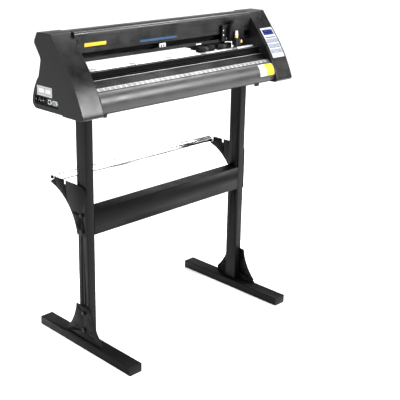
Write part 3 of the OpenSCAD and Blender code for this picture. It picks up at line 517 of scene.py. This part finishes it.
def frame_slab(name, outer, inner, thick, at, mat, body="root", sink=0.3):
    """A raised border between two outlines with the same number of points."""
    n = len(outer)
    points = [at @ Vector((x, y, z)) * MM
              for z in (-sink, thick) for ring in (outer, inner) for x, y in ring]
    faces = []
    for i in range(n):
        j = (i + 1) % n
        faces.append([2 * n + i, 2 * n + j, 3 * n + j, 3 * n + i])
        faces.append([i, n + i, n + j, j])
        faces.append([i, j, 2 * n + j, 2 * n + i])
        faces.append([n + i, 3 * n + i, 3 * n + j, n + j])
    mesh_piece(name, points, faces, mat, body)


def lathe(name, profile, at, mat, body="root", steps=32):
    """A turned solid about the z axis of a frame, from (radius, height) points."""
    points, faces = [], []
    for r, z in profile:
        for i in range(steps):
            a = 2 * math.pi * i / steps
            points.append(at @ Vector((r * math.cos(a), r * math.sin(a), z)) * MM)
    for k in range(len(profile) - 1):
        for i in range(steps):
            j = (i + 1) % steps
            faces.append([k * steps + i, k * steps + j, (k + 1) * steps + j, (k + 1) * steps + i])
    last = (len(profile) - 1) * steps
    faces.append(list(range(steps))[::-1])
    faces.append(list(range(last, last + steps)))
    piece = mesh_piece(name, points, faces, mat, body)
    piece.data.polygons.foreach_set("use_smooth", [len(p.vertices) == 4 for p in piece.data.polygons])


def screw(name, at, d=5.5, mat="bolt_black", body="root"):
    """A pan head with a dark cross of painted shade for its cross recess, in proportion to its diameter."""
    h = 0.3 * d
    profile = [(d / 2, -0.3), (d / 2, 0.5 * h), (0.42 * d, 0.85 * h), (0.28 * d, h), (0.01, h)]
    lathe(name, profile, at, mat, body)
    # The dark cross is painted shade standing in for the recess
    bar = (0.5 * d, 0.12 * d)
    for turn, (w, l) in enumerate((bar, bar[::-1])):
        slab(f"{name}_slot_{turn}", rounded(w, l), 0.04, at @ Matrix.Translation((0, 0, h)), "ink_and_shade_black",
             body, sink=0.2)


NUMERAL_THICK = 0.03
NUMERAL_CURVE_STEPS = 3


def numeral(name, text, size, at, mat):
    """A printed number, as a thin mesh."""
    curve = bpy.data.curves.new(name, "FONT")
    curve.body = text
    curve.size = size * MM
    curve.align_x = "CENTER"
    curve.align_y = "CENTER"
    curve.extrude = NUMERAL_THICK * MM
    curve.resolution_u = NUMERAL_CURVE_STEPS
    flat = bpy.data.objects.new(name + "_flat", curve)
    mesh = bpy.data.meshes.new_from_object(flat)
    bpy.data.objects.remove(flat)
    spot = at.copy()
    spot.translation = at.translation * MM
    mesh.transform(spot)
    piece = bpy.data.objects.new(name, mesh)
    bpy.context.scene.collection.objects.link(piece)
    mesh.materials.clear()
    mesh.materials.append(material(mat))
    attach(piece, "root")


# ---------------------------------------------------------------- head

IN_LEFT = low("beam").x
IN_RIGHT = high("beam").x
CAP_LEFT = low("left_end_cap").x
BEAM_FRONT = low("beam").y
# Level that heights on the beam and the carriage are given from
BEAM_Z = HEAD_Z + 130
# Distances down the platform's slope, and the ruler's spacing along it
# Distance down the slope of the silver strip that is a painted highlight line
PAINTED_HIGHLIGHT_S = 37.5
TICKS_TOP_S = 69.2
RULER_S = 75.5
NUMBERS_S = 78.4
RULER_EDGE_S = 83.0
RULER_INSET = 12
TICK_STEP = 5
TICK_COUNT = 143
TICK_LENGTHS = (5.0, 2.4, 3.4, 2.4)
TICK_WIDE = 1.6
TICK_NARROW = 0.9
LAST_NUMBER = 70


def make_platform_trim():
    """The ruler with its marks, silver strips beside it that are painted highlight lines, and the cutting
    strip.
    """
    middle = (IN_LEFT + IN_RIGHT) / 2
    span = IN_RIGHT - IN_LEFT - 2
    land_y, land_z = PLATFORM_TOP
    slab("ruler_strip", rounded(span, 13), 0.35, on_platform(middle, RULER_S), "ruler_grey")
    slab("ruler_line", rounded(span, 0.9), 0.40, on_platform(middle, RULER_EDGE_S), "ink_and_shade_black")
    # Two silver strips painted as highlight lines: one down the slope, one along the land's edge
    slab("painted_highlight_line_lower", rounded(span, 1.0), 0.30, on_platform(middle, PAINTED_HIGHLIGHT_S), "foil_and_highlight_silver")
    slab("painted_land_highlight", rounded(span, 1.0), 0.10, facing_up(middle, land_y - 15.5, land_z + 1), "foil_and_highlight_silver")
    slab("cutting_strip", rounded(span, 7.6), 0.7, facing_up(middle, land_y - 10, land_z), "strip_grey")
    make_ruler_marks(IN_LEFT + RULER_INSET)


def make_ruler_marks(first):
    """Ticks every 5 mm, the longest every 20 mm with its number of centimetres below it."""
    ticks = []
    for i in range(TICK_COUNT):
        length = TICK_LENGTHS[i % len(TICK_LENGTHS)]
        width = TICK_NARROW if i % len(TICK_LENGTHS) else TICK_WIDE
        ticks.append((rounded(width, length), on_platform(first + TICK_STEP * i, TICKS_TOP_S + length / 2)))
    many_slabs("ruler_ticks", ticks, 0.42, "label_white")
    for number in range(0, LAST_NUMBER + 1, 2):
        numeral(f"number_{number}", str(number), 8.2, on_platform(first + 10 * number, NUMBERS_S, 0.42),
                "label_white")


def make_beam_trim():
    """Plain colour marks, blank position stickers and the beam's end screws."""
    slab("mark_yellow", rounded(78, 10), 0.12, facing_front(-297, BEAM_FRONT, BEAM_Z + 47), "label_yellow")
    slab("mark_blue", rounded(150, 7), 0.12, facing_front(-54, BEAM_FRONT, BEAM_Z + 37.5), "label_blue")
    slab("position_sticker_1", rounded(26, 12), 0.12, facing_front(-38, BEAM_FRONT, BEAM_Z + 17.2),
         "label_white", sink=0.02)
    for k in range(2):
        slab(f"sticker_bar_{k}", rounded(5, 7), 0.16, facing_front(-43 + 10 * k, BEAM_FRONT, BEAM_Z + 15.2),
             "ink_and_shade_black", sink=0.02)
    slab("position_sticker_2", rounded(23, 4.5), 0.12, facing_front(118, BEAM_FRONT, BEAM_Z + 4),
         "label_white")
    for x in (IN_LEFT + 12, IN_RIGHT - 12):
        screw(f"beam_screw_{int(x)}", facing_front(x, BEAM_FRONT, BEAM_Z + 62), 6)


# The apron's curve: its centre as y and z, its radius, and the arc that shows, in degrees from +Y
APRON_CENTRE = (-87, HEAD_Z + 26)
APRON_RADIUS = 41
APRON_ARC = (128, 184)
APRON_STEPS = 12
STICKER_THICK = 0.15


def make_apron_trim():
    """Two blank stickers near the apron's right end."""
    bent_sticker("apron_sticker_white", IN_RIGHT - 57, 30, "label_white")
    bent_sticker("apron_sticker_yellow", IN_RIGHT - 23, 38, "label_yellow")


def bent_sticker(name, x, w, mat):
    """A sticker that follows the curve of the apron."""
    rows = apron_curve()
    points, faces = [], []
    for lift in (0.0, STICKER_THICK):
        for y, z, ny, nz in rows:
            for side in (-1, 1):
                points.append(Vector((x + side * w / 2, y + lift * ny, z + lift * nz)) * MM)
    top = 2 * len(rows)
    for k in range(len(rows) - 1):
        a, b = 2 * k, top + 2 * k
        faces.append([b, b + 1, b + 3, b + 2])
        faces.append([a, a + 2, a + 3, a + 1])
        faces.append([a, b, b + 2, a + 2])
        faces.append([a + 1, a + 3, b + 3, b + 1])
    end = top - 2
    faces.append([0, 1, top + 1, top])
    faces.append([end, top + end, top + end + 1, end + 1])
    mesh_piece(name, points, faces, mat)


def apron_curve():
    """Points and outward directions down the visible face of the apron."""
    rows = []
    first, last = APRON_ARC
    for i in range(APRON_STEPS + 1):
        a = math.radians(first + (last - first) * i / APRON_STEPS)
        y, z = math.cos(a), math.sin(a)
        rows.append((APRON_CENTRE[0] + APRON_RADIUS * y, APRON_CENTRE[1] + APRON_RADIUS * z, y, z))
    return rows


def make_cap_trim():
    """The blank rating plate on the left cap, with its border and fields."""
    plate_at = facing_left(CAP_LEFT, 32, HEAD_Z + 54.5)
    slab("rating_plate", rounded(70, 28, 1.5), 0.02, plate_at, "foil_and_highlight_silver")
    frame_slab("rating_border", rounded(67, 25, 1.5), rounded(64.5, 22.5, 1.0), 0.03, plate_at, "label_white")
    for name, x, w in (("rating_field_0", -15, 26), ("rating_field_31", 16, 24)):
        slab(name, rounded(w, 12), 0.04, plate_at @ Matrix.Translation((x, 1, 0)), "label_white")


# Where things sit on the port panel: the sockets' y, and how far the inlet's screws and pins are out
SERIAL_Y = -12
USB_Y = 13
JACK_SCREW_OUT = 13.5
INLET_SCREW_OUT = 16.72
INLET_PINS = ((0, 3.2), (-5, -2.2), (5, -2.2))
INLET_PIN_DEPTH = 9


def make_port_trim():
    """Contacts, screws and frames of the sockets on the left end."""
    panel_x = low("port_panel").x
    panel_z = (low("port_panel").z + high("port_panel").z) / 2
    inlet = (low("power_inlet") + high("power_inlet")) / 2
    for k, (dy, dz) in enumerate(INLET_PINS):
        at = facing_left(low("power_inlet").x + INLET_PIN_DEPTH, inlet.y + dy, inlet.z + dz)
        slab(f"inlet_pin_{k}", rounded(1.6, 4.2, 0.5), 7.0, at, "zinc_steel")
    for name, side in (("jack_screw_-25", -1), ("jack_screw_1", 1)):
        lathe(name, [(2.2, -0.2), (2.2, 1.5), (1.2, 1.6), (0.01, 0.9)],
              facing_left(panel_x, SERIAL_Y + side * JACK_SCREW_OUT, panel_z), "zinc_steel", steps=6)
    for name, side in (("inlet_screw_-19", -1), ("inlet_screw_19", 1)):
        screw(name, facing_left(panel_x, inlet.y + side * INLET_SCREW_OUT, inlet.z), 4.5, "zinc_steel")
    frame_slab("serial_frame", rounded(22, 13.5, 3), rounded(19.4, 10.9, 2.5), 0.5,
               facing_left(panel_x, SERIAL_Y, panel_z), "label_white")
    frame_slab("usb_frame", rounded(14.5, 13.5, 1), rounded(12.4, 11.4, 0.6), 0.4,
               facing_left(panel_x, USB_Y, panel_z), "label_white")


# Places on the back wall, across it and above the head's underside
BACK_SCREWS_X = (-300, -100, 100, 300)
BACK_SCREW_Z = HEAD_Z + 12
BACK_PLATE_Z = HEAD_Z + 44
VENT_BANK_X = 240
VENT_COUNT = 12
VENT_STEP = 8


def make_back_trim():
    """Screws, vents drawn as dark slabs of painted shade, and a blank data plate on the back wall of the pan.
    """
    back = high("base_pan").y
    for k, x in enumerate(BACK_SCREWS_X):
        screw(f"back_screw_{k}", facing_back(x, back, BACK_SCREW_Z), 5.5)
    # Each vent is a flat dark slab: painted shade for the inside of a slot
    for bank in (-1, 1):
        for k in range(VENT_COUNT):
            x = bank * VENT_BANK_X + VENT_STEP * (k - (VENT_COUNT - 1) / 2)
            slab(f"vent_{bank + 1}_{k}", rounded(3, 30, 1.5), 0.05, facing_back(x, back, BACK_PLATE_Z),
                 "ink_and_shade_black")
    plate_at = facing_back(0, back, BACK_PLATE_Z)
    slab("back_plate", rounded(60, 34, 2), 0.12, plate_at, "foil_and_highlight_silver")
    frame_slab("back_plate_border", rounded(56, 30, 1.5), rounded(54, 28, 1), 0.16, plate_at, "ink_and_shade_black")


# ---------------------------------------------------------------- control panel

# The membrane panel's thickness, the keys' size, spacing and height over it, and places down the slope
PANEL_THICK = 1.2
KEY_W = 15
KEY_H = 13
KEY_STEP = 19
KEY_PROUD = 0.7
FIRST_ROW_S = 116
SCREEN_S = 83
SCREEN_LINE_S = 103
# The screen's character blocks: their count and spacing across and down
SCREEN_COLUMNS = 12
SCREEN_ROWS = 2
BLOCK_STEP_X = 3.3
BLOCK_STEP_Y = 7.2
SCREEN_SUNK = 0.4


def key_frames():
    """A frame at the middle of each key's top face, by key number."""
    frames = {}
    for n in range(1, 10):
        x = (low(f"key_{n}").x + high(f"key_{n}").x) / 2
        row = (n - 1) // 3
        frames[n] = on_cap(x, FIRST_ROW_S + row * KEY_STEP, PANEL_THICK + KEY_PROUD)
    return frames


def make_panel_trim():
    """Printed line, screen border and characters, key outlines and key icons."""
    middle = (low("display").x + high("display").x) / 2
    slab("screen_gap_line", rounded(50, 3.4), 0.08, on_cap(middle, SCREEN_LINE_S, PANEL_THICK), "ink_and_shade_black",
         sink=0.2)
    frame_slab("screen_border", rounded(51, 21, 1.5), rounded(47.4, 17.4, 0.6), 0.10,
               on_cap(middle, SCREEN_S, PANEL_THICK), "ink_blue", sink=0.2)
    make_screen_text(middle)
    outer = rounded(KEY_W - 0.4, KEY_H - 0.4, 2)
    inner = rounded(KEY_W - 3.6, KEY_H - 3.6, 1.2)
    for n, at in key_frames().items():
        frame_slab(f"key_outline_{n}", outer, inner, 0.06, at, "ink_blue", f"key_{n}", sink=0.1)
        make_icon(n, at)


def make_screen_text(middle):
    """Rows of pale blocks, with gaps, that stand in for characters on the screen."""
    screen_at = on_cap(middle, SCREEN_S, PANEL_THICK - SCREEN_SUNK)
    for row in range(SCREEN_ROWS):
        for col in range(SCREEN_COLUMNS):
            is_gap = (3 * row + 5 * col) % 7 == 0
            if is_gap:
                continue
            x = BLOCK_STEP_X * (col - (SCREEN_COLUMNS - 1) / 2)
            y = BLOCK_STEP_Y * ((SCREEN_ROWS - 1) / 2 - row)
            at = screen_at @ Matrix.Translation((x, y, 0))
            slab(f"screen_block_{row}_{col}", rounded(2.2, 4.0), 0.05, at, "screen_glow", sink=0.1)


def make_icon(n, at):
    """A plain arrow, bar or dot on a key."""
    arrow = [(2.8, 0), (-2.0, 2.5), (-2.0, -2.5)]
    arrow_turns = {2: 90, 4: 180, 6: 0, 8: 270}
    if n in arrow_turns:
        at = at @ Matrix.Rotation(math.radians(arrow_turns[n]), 4, "Z")
        outline = arrow
    elif n == 5:
        outline = circle(4.6, 16)
    else:
        outline = rounded(7.0, 2.4)
    slab(f"key_icon_{n}", outline, 0.06, at, "ink_blue", f"key_{n}", sink=0.1)


# ---------------------------------------------------------------- moving parts

# The grit bands: their count, first place and spacing along the shaft, and half their width
GRIT_COUNT = 5
GRIT_FIRST_X = -320
GRIT_STEP = 148
GRIT_HALF = 12.4
# Places of the small screws: x and height over BEAM_Z, or over the same from the cover's middle
PLATE_SCREWS = ((222, 38), (223, 23), (238, 11), (303, 50))
COVER_MIDDLE_X = 273
COVER_SCREWS = ((-24, 14), (24, 14), (24, 52))
PINCH_SCREW_OUT = 17
PINCH_SCREW_Z = HEAD_Z + 118
CLIP_THICK = 1.6
CLIP_RADII = (3.9, 6.2)


def along_x(x, node):
    """A frame on the axis of a round node that lies along X."""
    y = (low(node).y + high(node).y) / 2
    z = (low(node).z + high(node).z) / 2
    return place((x, y, z), (0, 1, 0), (0, 0, 1))


def make_feed_trim():
    """Grit bands round the feed shaft."""
    r = (high("feed_shaft").z - low("feed_shaft").z) / 2
    face = GRIT_HALF - 0.2
    profile = [(r - 0.5, -GRIT_HALF), (r + 0.08, -face), (r + 0.08, face), (r - 0.5, GRIT_HALF)]
    for k in range(GRIT_COUNT):
        at = along_x(GRIT_FIRST_X + GRIT_STEP * k, "feed_shaft")
        lathe(f"grit_band_{k}", profile, at, "grit", "feed", 48)


def make_carriage_trim():
    """Screws on the carriage plate and cover."""
    plate_front = low("carriage_plate").y
    for k, (x, dz) in enumerate(PLATE_SCREWS):
        screw(f"carriage_screw_{k}", facing_front(x, plate_front, BEAM_Z + dz), 5, "zinc_steel", "carriage")
    cover_front = low("carriage_cover").y
    for k, (dx, dz) in enumerate(COVER_SCREWS):
        screw(f"cover_screw_{k}", facing_front(COVER_MIDDLE_X + dx, cover_front, BEAM_Z + dz), 4.5,
              "bolt_black", "carriage")


def make_pinch_trim():
    """Two screws on the front of each pinch arm."""
    for n in (1, 2):
        arm_low, arm_high = low(f"pinch_arm_{n}"), high(f"pinch_arm_{n}")
        middle = (arm_low.x + arm_high.x) / 2
        for side in (-1, 1):
            screw(f"pinch_screw_{n}_{side + 1}",
                  facing_front(middle + side * PINCH_SCREW_OUT, arm_low.y, PINCH_SCREW_Z),
                  4.5, "bolt_black", f"pinch_rocker_{n}")


def make_roll_trim():
    """Retaining collars on the roller's axle, just outside the hubs."""
    inner, outer = CLIP_RADII
    profile = [(inner, 0), (outer, 0), (outer, CLIP_THICK), (inner, CLIP_THICK)]
    for name, x in (("left", low("roll_plugs").x - 2.2), ("right", high("roll_plugs").x + 0.2)):
        lathe(f"roll_clip_{name}", profile, along_x(x, "roll_axle"), "zinc_steel", "roll_axle", 24)


# ---------------------------------------------------------------- the scene

def make_lights():
    """A soft sun from above, a fill from the right and two cards that the top and the edges reflect."""
    sun_light("overhead", (-0.45, -0.15, 0.88), 70, 4.4)
    area_light("right_fill", (1.4, -2.3, 1.85), (-0.3, 0, 0.85), (1.6, 1.2), 170)
    area_light("top_card", (1.7, 0.25, 2.85), (0, 0, 0.85), (1.5, 1.0), 80)
    area_light("edge_card", (-2.5, -1.25, 2.6), (-0.4, -0.1, 0.9), (0.9, 0.9), 50)


def set_view():
    """Tone of the picture."""
    view = bpy.context.scene.view_settings
    view.view_transform = "Standard"
    view.look = "Medium High Contrast"
    view.exposure = -0.65


make_camera()
make_world()
make_stage()
make_lights()
set_view()
dress_nodes()
make_platform_trim()
make_beam_trim()
make_apron_trim()
make_cap_trim()
make_port_trim()
make_back_trim()
make_panel_trim()
make_feed_trim()
make_carriage_trim()
make_pinch_trim()
make_roll_trim()
